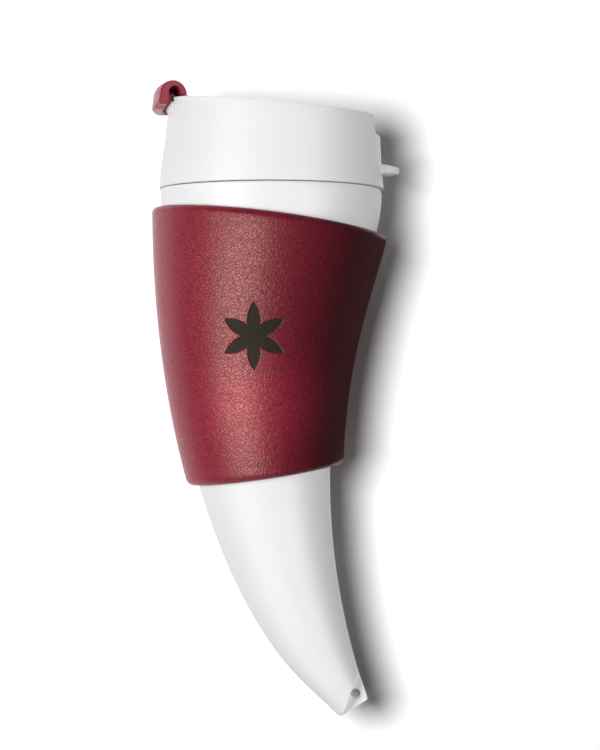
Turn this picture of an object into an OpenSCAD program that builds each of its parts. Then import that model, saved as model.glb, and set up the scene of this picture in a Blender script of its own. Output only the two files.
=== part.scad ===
// Horn drinking cup: a curved, tapering cup with a screw lid, a flip lever and a leather sleeve.
// Millimetres. The bend lies in the XZ plane, the lid's axis is vertical and the tip points to +X.
// Inside the modules the mouth's centre is at zero; each sub-part is then moved to the tip eyelet.

/* [Horn] */
// Outer radius of the horn at its mouth
mouth_r = 43; // [41:0.5:46]
// Height of the horn from the mouth down to the end of its centre line
horn_drop = 200.2; // [185:0.1:225]
// How far the tip swings out to the side
horn_reach = 32; // [24:0.5:40]
// How far the centre line runs straight down under the mouth, to its first guide point
mouth_run = 22.2; // [15:0.1:30]
// How far the belly's guide point lies back from the lid's axis
belly_back = 18; // [8:1:24]
// Drop of the belly's guide point
belly_drop = 81.2; // [70:0.1:95]
// How far the shank's guide point lies back from the lid's axis
shank_back = 0.7; // [-6:0.1:6]
// Drop of the shank's guide point
shank_drop = 161.2; // [150:0.1:172]
// How much wider the girth is guided just under the mouth
mouth_swell = 1; // [0:0.1:2]
// Radius that guides the girth at the belly
belly_r = 24.5; // [22:0.5:28]
// Radius that guides the girth at the shank
shank_r = 24.4; // [20:0.1:26]
// Outer radius at the end of the centre line
tip_r = 6.2; // [5.8:0.1:7.5]
// Wall of the horn
horn_wall = 2.4; // [1.8:0.1:3]
// Rounding of the shoulder under the lid
shoulder_round = 1.2; // [0.6:0.1:1.8]

/* [Tip eyelet] */
// Radius of the hole through the tip
eyelet_r = 1.9; // [1.5:0.1:2.2]
// Thickness of the flat lug round the hole
lug_t = 4.4; // [3.5:0.1:6]
// From the hole's edge to the step beside the lug
lug_margin = 0.4; // [0.2:0.1:1]

/* [Neck and seal] */
// From the middle of the lid's top down to the sealing face
lid_head = 13.1; // [12.6:0.1:16]
// Wall of the neck
neck_wall = 2.4; // [2:0.1:3]
// Room for the thread between the neck and the lid's skirt
thread_room = 1.4; // [1.2:0.1:1.8]
// Height of the sealing ring
gasket_h = 1.6; // [1.2:0.1:2]
// How far the ring stays back from both edges of the neck's rim
gasket_inset = 0.3; // [0.1:0.1:0.5]

/* [Lid] */
// Height of the lid in the middle of its top
lid_h = 31.5; // [30:0.1:36]
// How far the lid stands out over the horn's mouth
lid_overhang = 0.7; // [0.3:0.1:1.2]
// How much narrower the lid's wall is at the top
lid_taper = 3.2; // [2.6:0.1:3.4]
// Slope of the lid's top
lid_slope = 4.9; // [3:0.1:6]
// Radius of the crown across the lid's top
crown_r = 530; // [400:10:900]
// Wall of the skirt at its lower edge
skirt_wall = 3.5; // [3.4:0.1:3.9]
// Thickness of the top and of the channel's floor and sides
lid_plate = 2.2; // [1.6:0.1:2.6]
// Open seam between the lid and the shoulder
seam = 0.5; // [0.3:0.1:1]
// How far the catch stands out under the hook
catch_out = 0.6; // [0.4:0.1:0.9]

/* [Lever channel] */
// Width of the channel across the lid
channel_w = 26.6; // [24:0.2:28]
// Depth of the channel at the hook end
channel_hook_end = 2.6; // [2.4:0.1:3.2]
// Depth of the channel at the hinge end
channel_hinge_end = 6.5; // [6.2:0.1:7]
// Radius of the drinking hole
sip_r = 5; // [4:0.1:6]
// From the rim to the middle of the drinking hole
sip_inset = 14.5; // [13:0.5:18]
// Radius of the air hole
vent_r = 1.4; // [1:0.1:2]
// From the lid's middle to the air hole
vent_x = 6; // [0:1:12]

/* [Lever] */
// Thickness of the lever's strip
strip_t = 2.2; // [1.8:0.1:2.3]
// Room between the strip and each side of the channel
strip_room = 0.4; // [0.3:0.1:0.8]
// Radius of the hinge pin
pin_r = 1.25; // [1:0.05:1.4]
// Running clearance of the pin in the lever
pin_run = 0.05; // [0.03:0.01:0.1]
// Radius of the hinge knuckle
knuckle_r = 2.6; // [2.4:0.1:2.8]
// From the rim to the hinge pin
hinge_inset = 9.7; // [8.5:0.1:12]
// Width of the knuckle
knuckle_w = 13.8; // [10:0.2:15]
// Width of each pin saddle
saddle_w = 3; // [2:0.1:4]

/* [Hook] */
// Half of the angle that the hook spans along the rim
hook_half_angle = 24; // [21:0.5:26]
// Half of the angle of the thumb tab
tab_half_angle = 18; // [12:0.5:20]
// Room between the catch and the hook's leg
hook_room = 1; // [0.8:0.1:1.8]
// Thickness of the hook's outer leg at its lower end
hook_leg = 4.2; // [3.6:0.1:4.6]
// How much thinner the outer leg is where it meets the arch
leg_flare = 1; // [0:0.1:1.4]
// Hollow under the arch
hook_hollow = 4.6; // [4.4:0.1:5.5]
// Thickness of the arch at its top
hook_arch = 2.2; // [1.8:0.1:3]
// Thickness of the hook's inner leg
hook_inner_leg = 2.6; // [2:0.1:3]
// Height of the arch over the rim
hook_rise = 5.7; // [5:0.1:7]
// How far the thumb tab hangs below the hook
tab_drop = 1.6; // [1.3:0.1:2.2]

/* [Strap tab] */
// How far the tab stands out from the horn's mouth
tab_out = 6.9; // [6.2:0.1:9]
// Thickness of the tab
tab_t = 2.6; // [2:0.1:4]
// Height of the tab's underside over the shoulder
tab_z = 6.5; // [5:0.1:8]
// Radius of the tab's hole
strap_r = 1.9; // [1.5:0.1:2.1]

/* [Sleeve] */
// Drop from the mouth to the sleeve's upper rim, at the centre line
sleeve_from = 12.4; // [11.5:0.1:17]
// Drop from the mouth to the sleeve's lower rim, at the centre line
sleeve_to = 110.4; // [90:0.1:117]
// Room between horn and sleeve at the upper rim
sleeve_room_top = 0.9; // [0.9:0.1:1.5]
// Room between horn and sleeve at the lower rim
sleeve_room_low = 1.6; // [1.3:0.1:2.2]
// How far the sleeve sits towards the tip's side
sleeve_shift = 0.5; // [0:0.1:0.55]
// Thickness of the leather
leather_t = 1.6; // [1.2:0.1:2.2]
// Thickness of the lining
liner_t = 1.6; // [1:0.1:2.2]
// Height of the turned-in rims
rim_h = 3.5; // [3.2:0.1:6]
// Rounding of the rims on the outside
rim_round = 2.6; // [1.5:0.1:2.8]
// How far both rims bow outwards at front and back
rim_bow = 1.2; // [0:0.1:3]

/* [Hidden] */
$fn = 96;
sides = 48;
snug = 0.02;
shy = 0.05;
far = 200;

// Centre line and girth of the horn, as control points of one curve each
spine = [[0, 0], [0, -mouth_run], [-belly_back, -belly_drop], [-shank_back, -shank_drop],
         [horn_reach, -horn_drop]];
girth = [mouth_r, mouth_r + mouth_swell, belly_r, shank_r, tip_r];

// Point on a curve with any number of control points
function curve(p, t) = len(p) == 1 ? p[0]
    : (1 - t) * curve([for (i = [0 : len(p) - 2]) p[i]], t) + t * curve([for (i = [1 : len(p) - 1]) p[i]], t);
function pull(t) = 4 * curve([for (i = [0 : 3]) spine[i + 1] - spine[i]], t);
function heading(t) = pull(t) / norm(pull(t));
// Curve parameter at a drop below the mouth, by halving
function at_drop(z, lo = 0, hi = 1, n = 30) = n == 0 ? (lo + hi) / 2
    : let (mid = (lo + hi) / 2) curve(spine, mid).y > -z ? at_drop(z, mid, hi, n - 1) : at_drop(z, lo, mid, n - 1);
// Curve parameter a few millimetres further along
function further(t, mm) = t + mm / norm(pull(t));

// Ring of points round the centre line; bow moves it along the line at front and back
function ring(t, off, shift = 0, bow = 0) =
    let (c = curve(spine, t), d = heading(t), r = curve(girth, t) + off)
    [for (i = [0 : sides - 1])
        let (a = 360 * i / sides, u = shift + r * cos(a), v = bow * sin(a) * sin(a))
        [c.x - d.y * u + d.x * v, r * sin(a), c.y + d.x * u + d.y * v]];
// Level ring round the lid's axis
function level(r, z) = [for (i = [0 : sides - 1]) [r * cos(360 * i / sides), r * sin(360 * i / sides), z]];

// Closed skin over a row of rings; a loop joins the last ring to the first, or else both ends are capped
module skin(rings, loop = false) {
    count = len(rings);
    bands = loop ? count : count - 1;
    sides_faces = [for (k = [0 : bands - 1], i = [0 : sides - 1])
        let (n = (k + 1) % count, j = (i + 1) % sides)
        [k * sides + i, k * sides + j, n * sides + j, n * sides + i]];
    caps = loop ? [] : [[for (i = [sides - 1 : -1 : 0]) i], [for (i = [0 : sides - 1]) (count - 1) * sides + i]];
    polyhedron(points = [for (r = rings) each r], faces = concat(sides_faces, caps), convexity = 8);
}

// Tip of the horn
tip_way = heading(1);
tip_end = curve(spine, 1);
tip_angle = atan2(-tip_way.y, tip_way.x);
// Hole in the lug: a little back from the end, on the inside of the bend
hole_back = 2.55;
hole_side = 3.2;
hole = tip_end - hole_back * tip_way + hole_side * [-tip_way.y, tip_way.x];
// Flat end of the tip: this far past the centre line's end and turned by this angle
end_past = 1.25;
end_turn = 8;
step_turn = 58;

// Lid and neck
lid_r = mouth_r + lid_overhang;
lid_top_r = lid_r - lid_taper + 0.2;
skirt_in = lid_r - skirt_wall;
neck_r = skirt_in - thread_room;
neck_in = neck_r - neck_wall;
seal_z = lid_h - lid_head;
neck_h = seal_z - gasket_h;
chamber_r = neck_r - 1.8;
lid_full_h = lid_h + 6;
function top_at(x) = lid_h - tan(lid_slope) * x;
floor_left = top_at(-lid_top_r) - channel_hook_end;
floor_right = top_at(lid_top_r) - channel_hinge_end;
floor_mid = (floor_left + floor_right) / 2;
floor_slope = atan((floor_left - floor_right) / (2 * lid_top_r));
function floor_at(x) = floor_mid - tan(floor_slope) * x;

// Lever
strip_w = channel_w - 2 * strip_room;
strip_low = 0.1 + strip_t;
hinge_x = lid_top_r - hinge_inset;
hinge_z = floor_at(hinge_x) + knuckle_r / cos(floor_slope) + 0.4;
saddle_from = knuckle_w / 2 + 0.4;
saddle_r = knuckle_r + 0.1;
sip_x = sip_inset - lid_top_r;
plug_room = 0.3;
plug_lift = 0.1;
stud_h = 1.3;

// Hook profile, from the lid's axis outwards
catch_r = lid_top_r + catch_out;
leg_in = catch_r + hook_room;
leg_out = leg_in + hook_leg;
arch_in = leg_in - hook_hollow;
arch_root = arch_in - hook_inner_leg;
arch_r = (leg_out - leg_flare - arch_root) / 2;
arch_top = top_at(-lid_top_r) + hook_rise;
arch_foot = arch_top - arch_r;
hollow_z = arch_top - hook_arch - hook_hollow / 2;
hook_low = floor_left - 1;
// Foot of the arch's inner leg, as wide as the strip that it stands on
foot_half_angle = asin(strip_w / 2 / arch_in);
foot_low = top_at(-arch_in) - 0.6 * strip_t;
foot_inset = 0.4;

// Sleeve
sleeve_t0 = at_drop(sleeve_from);
sleeve_t1 = at_drop(sleeve_to);
sleeve_wall = leather_t + liner_t;
function part_way(t) = (t - sleeve_t0) / (sleeve_t1 - sleeve_t0);
function sleeve_in(t) = sleeve_room_top + (sleeve_room_low - sleeve_room_top) * part_way(t);
// Ring of the sleeve, this far out from the inner face of its wall
function sleeve_ring(t, out) = ring(t, sleeve_in(t) + out, sleeve_shift, rim_bow * (2 * part_way(t) - 1));
function steps(from, to, count) = [for (i = [0 : count]) from + (to - from) * i / count];

module in_frame() { translate([-hole.x, 0, -hole.y]) children(); }
// Space under the crowned, slanted top, lowered by drop
module under_top(drop = 0)
    translate([0, 0, lid_h - drop]) rotate([0, lid_slope, 0]) translate([0, 0, -crown_r])
        rotate([0, 90, 0]) cylinder(r = crown_r, h = far, center = true, $fn = 360);
module on_floor(x) { translate([x, 0, floor_at(x)]) rotate([0, floor_slope, 0]) children(); }
module along_y(r, w) { rotate([90, 0, 0]) cylinder(r = r, h = w, center = true); }
// Space above the channel's floor, wider and lower by a margin
module channel(margin = 0)
    on_floor(0) translate([-far / 2, -channel_w / 2 - margin, -margin])
        cube([far, channel_w + 2 * margin, 3 * lid_h]);

module horn_cup() color("whitesmoke") in_frame() {
    difference() {
        skin(concat(
            [ring(0.9, -0.75 * tip_r - horn_wall), ring(0.885, -0.2 * tip_r - horn_wall)],
            [for (t = steps(0.86, further(0, 5), 17)) ring(t, -horn_wall)],
            [level(neck_r - neck_wall / 2, -horn_wall), level(neck_r - neck_wall / 2, 0)],
            [for (a = steps(90, 0, 3))
                level(mouth_r - shoulder_round * (1 - cos(a)), -shoulder_round * (1 - sin(a)))],
            [for (t = steps(further(0, 2 * shoulder_round), 1, 22)) ring(t, 0)],
            [ring(1.03, 1)]));
        // Flat end of the tip
        translate([tip_end.x, 0, tip_end.y]) rotate([0, tip_angle + end_turn, 0])
            translate([end_past, -far / 2, -far / 2]) cube(far);
        // Flats of the lug on both faces, and the hole
        for (face = [-1, 1])
            translate([hole.x, face * (lug_t / 2 + far / 2), hole.y]) rotate([0, tip_angle + step_turn - 90, 0])
                translate([-eyelet_r - lug_margin, -far / 2, -far / 2]) cube([far, far, far]);
        translate([hole.x, 0, hole.y]) along_y(eyelet_r, far);
    }
    rotate_extrude() translate([neck_in, -horn_wall - 1]) square([neck_wall, neck_h + horn_wall + 1]);
}

module pin_saddle() {
    rise = hinge_z - floor_at(hinge_x) + 2;
    difference() {
        union() {
            along_y(saddle_r, saddle_w);
            translate([-saddle_r, -saddle_w / 2, -rise]) cube([2 * saddle_r, saddle_w, rise]);
        }
        along_y(pin_r + snug, far);
        // Mouth of the saddle, a little narrower than the pin that snaps into it
        translate([-0.8 * pin_r, -far / 2, 0]) cube([1.6 * pin_r, far, far]);
    }
}

module lid_cap() color("white") in_frame() {
    difference() {
        union() {
            intersection() {
                rotate_extrude() polygon([[0, seam], [lid_r - 0.6, seam], [lid_r, seam + 0.6],
                    [lid_top_r, lid_h], [lid_top_r - 0.2, lid_full_h], [0, lid_full_h]]);
                under_top();
            }
            rotate(180 - hook_half_angle) rotate_extrude(angle = 2 * hook_half_angle)
                polygon([[chamber_r + 1, floor_left - 3], [lid_top_r - 0.1, floor_left - 3],
                    [catch_r, floor_left - 0.8], [catch_r, floor_left + 1], [chamber_r + 1, floor_left + 1]]);
            translate([mouth_r + 0.4, 0, tab_z]) cylinder(r = tab_out - 0.4, h = tab_t);
        }
        channel();
        translate([0, 0, -1]) cylinder(r = skirt_in, h = seal_z + 1);
        difference() {
            intersection() {
                cylinder(r = chamber_r, h = lid_full_h);
                under_top(lid_plate);
            }
            channel(lid_plate);
        }
        on_floor(sip_x) cylinder(r = sip_r, h = far, center = true);
        on_floor(vent_x) cylinder(r = vent_r, h = far, center = true);
        translate([mouth_r + tab_out - 3.2, 0, -1]) cylinder(r = strap_r, h = seal_z);
    }
    for (s = [-1, 1])
        translate([hinge_x, s * (saddle_from + saddle_w / 2), hinge_z]) pin_saddle();
}

module lid_gasket() color("dimgray") in_frame()
    translate([0, 0, neck_h]) difference() {
        cylinder(r = neck_r - gasket_inset, h = gasket_h);
        translate([0, 0, -1]) cylinder(r = neck_in + gasket_inset, h = gasket_h + 2);
    }

// Section of the hook in its middle, where the thumb tab hangs from the outer leg
module hook_section() {
    tab_mid = hook_low - tab_drop + hook_leg / 2;
    difference() {
        union() {
            difference() {
                translate([arch_root + arch_r, arch_foot]) circle(r = arch_r);
                square([far, arch_foot - 1]);
            }
            polygon([[leg_in, tab_mid], [leg_out, tab_mid], [leg_out - leg_flare, arch_foot], [leg_in, arch_foot]]);
            translate([leg_in + hook_leg / 2, tab_mid]) circle(r = hook_leg / 2);
        }
        translate([arch_in + hook_hollow / 2, hollow_z]) circle(r = hook_hollow / 2);
        translate([arch_in, 0]) square([hook_hollow, hollow_z]);
        square([arch_in + 1, arch_foot]);
    }
}

// Hook along the rim, with the outer leg cut short beside the thumb tab
module hook() {
    difference() {
        rotate(180 - hook_half_angle) rotate_extrude(angle = 2 * hook_half_angle) hook_section();
        for (from = [tab_half_angle, -tab_half_angle - hook_half_angle])
            rotate(180 + from) rotate_extrude(angle = hook_half_angle)
                translate([leg_in - 1, hook_low - 2 * tab_drop]) square([hook_leg + 2, 2 * tab_drop]);
    }
}

module closure_lever() color("crimson") in_frame()
    difference() {
        union() {
            translate([0, 0, lid_h]) rotate([0, lid_slope, 0]) {
                translate([-arch_in + 0.6, -strip_w / 2, -strip_low])
                    cube([arch_in + hinge_x - saddle_r - 1.9, strip_w, strip_t]);
                translate([0, -knuckle_w / 2, -strip_low]) cube([hinge_x, knuckle_w, strip_t]);
            }
            translate([hinge_x, 0, hinge_z]) along_y(knuckle_r, knuckle_w);
            hook();
            rotate(180 - foot_half_angle) rotate_extrude(angle = 2 * foot_half_angle)
                translate([arch_root + foot_inset, foot_low])
                    square([hook_inner_leg - 2 * foot_inset, arch_foot - foot_low + 0.5]);
        }
        translate([hinge_x, 0, hinge_z]) along_y(pin_r + pin_run, far);
        for (at = [[sip_x, sip_r], [vent_x, vent_r]]) plug_stud(at[0], at[1], snug);
    }

module lever_pin() color("silver") in_frame()
    translate([hinge_x, 0, hinge_z]) along_y(pin_r, 2 * (saddle_from + saddle_w));

// Stud that holds a plug in the lever's strip
module plug_stud(x, hole_r, margin = 0)
    translate([x, 0, top_at(x)]) rotate([0, lid_slope, 0]) translate([0, 0, -strip_low - 1])
        cylinder(r = 0.5 * hole_r + 0.4 + margin, h = 1 + stud_h + margin);

// Plug with a flange between floor and strip, and a stem in the floor's hole
module plug(x, hole_r) {
    difference() {
        on_floor(x) {
            translate([0, 0, plug_lift]) cylinder(r = hole_r + 1.6, h = 4 * strip_t);
            translate([0, 0, -lid_plate - 0.4]) cylinder(r = hole_r - plug_room, h = lid_plate + 1);
        }
        translate([0, 0, lid_h]) rotate([0, lid_slope, 0])
            translate([-far / 2, -far / 2, -strip_low - snug]) cube(far);
    }
    plug_stud(x, hole_r);
}

module sip_plug() color("gray") in_frame() plug(sip_x, sip_r);
module vent_plug() color("gray") in_frame() plug(vent_x, vent_r);

// Half of a rim's section, from the inner corner to the outer face: distance from the edge, then way out
rim_inner = sleeve_wall - rim_round;
function rim_section() = concat(
    [for (a = steps(0, 60, 2)) rim_inner * [1 - sin(a), 1 - cos(a)]],
    [for (a = steps(0, 90, 5)) [rim_round * (1 - cos(a)), rim_inner + rim_round * sin(a)]]);

module sleeve_leather() color("firebrick") in_frame() {
    top = further(sleeve_t0, rim_h);
    low = further(sleeve_t1, -rim_h);
    rim = rim_section();
    skin(concat(
        [sleeve_ring(low, 0)],
        [for (t = steps(low, top, 10)) sleeve_ring(t, liner_t)],
        [sleeve_ring(top, 0)],
        [for (p = rim) sleeve_ring(further(sleeve_t0, p.x), p.y)],
        [for (t = steps(top, low, 10)) sleeve_ring(t, sleeve_wall)],
        [for (i = [len(rim) - 1 : -1 : 0]) sleeve_ring(further(sleeve_t1, -rim[i].x), rim[i].y)]),
        loop = true);
}

module sleeve_liner() color("saddlebrown") in_frame() {
    top = further(sleeve_t0, rim_h + shy);
    low = further(sleeve_t1, -rim_h - shy);
    skin(concat(
        [for (t = steps(low, top, 10)) sleeve_ring(t, 0)],
        [for (t = steps(top, low, 10)) sleeve_ring(t, liner_t - shy)]),
        loop = true);
}

horn_cup();
lid_cap();
lid_gasket();
closure_lever();
lever_pin();
sip_plug();
vent_plug();
sleeve_leather();
sleeve_liner();
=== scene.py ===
# %% [markdown]
# # A horn drinking cup
# The cup is a curved, tapering horn of white plastic with a screw lid, a red flip lever and a red
# leather sleeve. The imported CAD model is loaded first, because it fixes every size, place and joint.
# Each piece below is modelled in millimetres from the middle of the horn's mouth, as on a drawing,
# and is moved to its place in the frame, in metres, when it is finished.

# %% Load the CAD frame
from math import asin, atan2, copysign, cos, degrees, hypot, pi, radians, sin, sqrt, tan

import bmesh
import bpy
from mathutils import Matrix, Vector


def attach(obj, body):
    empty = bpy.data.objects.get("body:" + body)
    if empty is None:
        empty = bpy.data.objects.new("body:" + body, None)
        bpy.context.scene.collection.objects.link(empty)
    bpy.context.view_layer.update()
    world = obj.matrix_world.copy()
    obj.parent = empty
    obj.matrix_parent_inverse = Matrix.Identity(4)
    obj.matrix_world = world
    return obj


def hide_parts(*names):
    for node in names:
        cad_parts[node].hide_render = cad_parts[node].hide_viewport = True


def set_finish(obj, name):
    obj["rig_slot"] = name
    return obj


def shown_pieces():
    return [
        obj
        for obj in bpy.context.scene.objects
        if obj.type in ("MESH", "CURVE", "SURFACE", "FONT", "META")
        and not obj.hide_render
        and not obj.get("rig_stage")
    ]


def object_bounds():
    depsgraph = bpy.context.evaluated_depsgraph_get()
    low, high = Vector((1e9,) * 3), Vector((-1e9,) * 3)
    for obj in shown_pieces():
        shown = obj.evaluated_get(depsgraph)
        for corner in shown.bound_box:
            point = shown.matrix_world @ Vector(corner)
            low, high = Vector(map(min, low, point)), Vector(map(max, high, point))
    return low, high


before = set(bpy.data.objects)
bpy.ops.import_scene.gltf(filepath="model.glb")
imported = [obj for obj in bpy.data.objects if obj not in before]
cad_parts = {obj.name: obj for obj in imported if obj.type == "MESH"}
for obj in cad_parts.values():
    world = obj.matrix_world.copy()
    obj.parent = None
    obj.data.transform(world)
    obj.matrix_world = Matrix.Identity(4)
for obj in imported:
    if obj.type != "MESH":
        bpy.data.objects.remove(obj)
cad_low, cad_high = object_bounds()

# %% [markdown]
# ## The horn's own coordinates
# A horn tapers and bends at once, so nothing on it lies on a plain axis. Each cross-section could be
# drawn in space. Here a smooth centre line carries the sections instead: a place on the horn is a
# share t of the way from mouth to tip, an angle round the line and a distance from it. Horn, sleeve
# and stitches all use it, so they fit each other.

# %% Centre line and girth
MM = 0.001
SPINE = [Vector(p) for p in ((0, 0, 0), (0, 0, -22.2), (-18, 0, -81.2), (-0.7, 0, -161.2), (32, 0, -200.2))]
GIRTH = (43, 44, 24.5, 24.4, 6.2)
EYELET_BACK, EYELET_ASIDE = 2.55, 3.2


def guided(points, t):
    """Point at t on the smooth curve that these points guide"""
    while len(points) > 1:
        points = [a + (b - a) * t for a, b in zip(points, points[1:])]
    return points[0]


def stride(t):
    """Way that the centre line goes at t, in millimetres for a whole step of t"""
    return 4 * guided([b - a for a, b in zip(SPINE, SPINE[1:])], t)


def station(t):
    """Centre, heading and side of the horn at t; it runs on straight above the mouth and past the tip"""
    inside = min(max(t, 0), 1)
    step = stride(inside)
    way = step.normalized()
    return guided(SPINE, inside) + step * (t - inside), way, Vector((-way.z, 0, way.x))


def further(t, mm):
    """The t that lies this many millimetres further along"""
    return t + mm / stride(min(max(t, 0), 1)).length


def at_drop(mm):
    """The t at which the centre line has come down this far"""
    low, high = 0, 1
    for _ in range(40):
        middle = (low + high) / 2
        low, high = (middle, high) if guided(SPINE, middle).z > -mm else (low, middle)
    return low


def spaced(start, end, gap):
    """Values from start to end, about this many millimetres of the centre line apart"""
    count = max(1, round(stride((start + end) / 2).length * abs(end - start) / gap))
    return [start + (end - start) * i / count for i in range(count + 1)]


tip_centre, tip_way, tip_side = station(1)
EYELET = tip_centre - EYELET_BACK * tip_way + EYELET_ASIDE * tip_side
print("tip eyelet, mm:", [round(x, 3) for x in EYELET])

# %% [markdown]
# ## Small tools
# Short functions do the work that repeats. `lathe` turns a profile round the z axis, and `slab` draws
# a flat outline out to a block. `onto_horn` bends a turned shape along the centre line. `put` turns and
# moves a shape, `round_off` rounds edges, and `carve` joins or cuts closed shapes with an exact
# Boolean. `keep` puts a finished mesh in its place and tells the frame.

# %% Profiles and places
LATHE = 200  # millimetres of height on the lathe for a whole step of t


def smooth_step(low, high, x):
    """A smooth rise from 0 at low to 1 at high"""
    share = min(max((x - low) / (high - low), 0), 1)
    return share * share * (3 - 2 * share)


def in_frame(x, y, z):
    """Place in the frame, in metres, of a point on the drawing"""
    return (Vector((x, y, z)) - EYELET) * MM


def arc(centre, radius, start, end, count):
    """Points on a circle's arc, with the angles in degrees"""
    angles = [radians(start + (end - start) * i / count) for i in range(count + 1)]
    return [(centre[0] + radius * cos(a), centre[1] + radius * sin(a)) for a in angles]


def rounded(x, z, radius, start, end, count):
    """An arc in place of a sharp corner"""
    middle = radians((start + end) / 2)
    centre = x - copysign(radius, cos(middle)), z - copysign(radius, sin(middle))
    return arc(centre, radius, start, end, count)


def round_bar(radius, low, high, corner, bends=4):
    """Profile of a round bar with rounded ends"""
    ends = rounded(radius, low, corner, -90, 0, bends) + rounded(radius, high, corner, 0, 90, bends)
    return [(0, low)] + ends + [(0, high)]


# %% Shapes
QUARTER = Matrix.Rotation(pi / 2, 3, "X")  # lays a turned shape along the y axis
PAST_END = 8  # millimetres that a cutter reaches past the hole


def clean(bm):
    """Joins points that meet and turns all faces outwards"""
    bmesh.ops.remove_doubles(bm, verts=bm.verts, dist=1e-4)
    bmesh.ops.recalc_face_normals(bm, faces=bm.faces)
    return bm


def spin(bm, geom, angle, steps, merge=False, rise=0):
    """Sweeps points, edges or faces round the z axis and up by a rise for each step"""
    bmesh.ops.spin(bm, geom=geom, cent=(0, 0, 0), axis=(0, 0, 1), dvec=(0, 0, rise), angle=angle,
                   steps=steps, use_merge=merge)


def lathe(profile, steps, closed=False):
    """Turns a row of (radius, height) points once round the z axis"""
    bm = bmesh.new()
    points = [bm.verts.new((r, 0, z)) for r, z in profile]
    pairs = list(zip(points, points[1:]))
    if closed:
        pairs.append((points[-1], points[0]))
    spin(bm, points + [bm.edges.new(pair) for pair in pairs], 2 * pi, steps, merge=True)
    return clean(bm)


def flared_cutter(radius, low, high, flare, steps=72, bends=4):
    """A bore that opens out with a rounded flare at both of its ends"""
    out, under, over = radius + flare, low - PAST_END, high + PAST_END
    lower = [(0, under), (out, under)] + rounded(radius, low, flare, 270, 180, bends)
    upper = rounded(radius, high, flare, 180, 90, bends) + [(out, over), (0, over)]
    return lathe(lower + upper, steps)


def flat_shape(bm, points):
    """A face inside a closed outline, whose points are given in order"""
    corners = [bm.verts.new(p) for p in points]
    outline = [bm.edges.new(pair) for pair in zip(corners, corners[1:] + corners[:1])]
    return bmesh.ops.contextual_create(bm, geom=outline)["faces"][0]


def slab(points, way):
    """A flat outline, drawn out along a way to a closed block"""
    bm = bmesh.new()
    drawn = bmesh.ops.extrude_face_region(bm, geom=[flat_shape(bm, points)])["geom"]
    bmesh.ops.translate(bm, verts=[v for v in drawn if isinstance(v, bmesh.types.BMVert)], vec=way)
    return clean(bm)


# %% Changes to a shape


def put(bm, at, turn=None):
    """Turns a whole shape about the origin and moves it to its place"""
    if turn is not None:
        bmesh.ops.rotate(bm, verts=bm.verts, matrix=turn)
    bmesh.ops.translate(bm, verts=bm.verts, vec=at)
    return bm


def round_off(bm, edges, offset, segments=3):
    """Rounds these edges"""
    bmesh.ops.bevel(bm, geom=edges, offset=offset, offset_type="OFFSET", segments=segments, profile=0.5,
                    affect="EDGES", clamp_overlap=True, material=-1)


def onto_horn(bm, place):
    """Bends a turned shape along the horn; place gives a point for t, angle and radius on the lathe"""
    for v in bm.verts:
        v.co = place(*on_lathe(v.co))
    bmesh.ops.recalc_face_normals(bm, faces=bm.faces)


def on_lathe(point):
    """The t, angle and radius of a point on the lathe"""
    return point.z / LATHE, atan2(point.y, point.x), hypot(point.x, point.y)


# %% From shape to piece


def linked(name, data):
    """A new object in the scene"""
    obj = bpy.data.objects.new(name, data)
    bpy.context.scene.collection.objects.link(obj)
    return obj


def shaped(bm, name):
    """A new object with this mesh, which is used up"""
    mesh = bpy.data.meshes.new(name)
    bm.to_mesh(mesh)
    bm.free()
    return linked(name, mesh)


def carve(bm, tool, operation):
    """Joins a closed shape to another (UNION) or cuts it away (DIFFERENCE), and uses both up"""
    pair = [shaped(shape, "carving") for shape in (bm, tool)]
    work = pair[0].modifiers.new("carve", "BOOLEAN")
    work.object, work.operation, work.solver = pair[1], operation, "EXACT"
    carved = bmesh.new()
    carved.from_object(pair[0], bpy.context.evaluated_depsgraph_get())
    for obj in pair:
        mesh = obj.data
        bpy.data.objects.remove(obj)
        bpy.data.meshes.remove(mesh)
    bmesh.ops.remove_doubles(carved, verts=carved.verts, dist=1e-4)
    return carved


def keep(bm, name, body, finish, slot, *nodes, crease=35, weighted=False):
    """Puts a mesh in the frame as a piece that rides on a body and stands for CAD nodes"""
    put(bm, -EYELET)
    bmesh.ops.scale(bm, verts=bm.verts, vec=(MM, MM, MM))
    piece = shaped(bm, name)
    mesh = piece.data
    mesh.shade_smooth()
    mesh.set_sharp_from_angle(angle=radians(crease))
    mesh.materials.append(finish)
    if weighted:
        piece.modifiers.new("even shading on flats", "WEIGHTED_NORMAL").keep_sharp = True
    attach(piece, body)
    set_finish(piece, slot)
    if nodes:
        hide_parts(*nodes)
    print(name, "has", len(mesh.polygons), "faces")


# %% [markdown]
# ## Finishes
# A finish is a material with the grain of the real one. Colours are written as on a colour card, in
# sRGB hex, and turned to the linear values that Blender mixes with. Patterns sit on Object
# coordinates, which are metres here, so a grain of g millimetres needs a scale of 1000 / g. One
# function adds every node, and short ones make the kinds that repeat.

# %% Finish helpers


def card(code):
    """Linear colour of an sRGB hex code"""
    parts = [int(code[i:i + 2], 16) / 255 for i in (1, 3, 5)]
    return [c / 12.92 if c <= 0.04045 else ((c + 0.055) / 1.055) ** 2.4 for c in parts] + [1]


def grain(millimetres):
    """Texture scale for a grain of this size"""
    return 1000 / millimetres


def join(owner, node, inputs):
    """Sets a node's inputs to values, to outputs, or to other nodes, which stand for their first output"""
    for socket, value in inputs.items():
        if isinstance(value, bpy.types.Node):
            value = value.outputs[0]
        if isinstance(value, bpy.types.NodeSocket):
            owner.node_tree.links.new(value, node.inputs[socket])
        else:
            node.inputs[socket].default_value = value


def add(owner, kind, inputs, **settings):
    """Adds a node to a finish or to the world, with its settings and inputs"""
    node = owner.node_tree.nodes.new("ShaderNode" + kind)
    for name, value in settings.items():
        setattr(node, name, value)
    join(owner, node, inputs)
    return node


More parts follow.
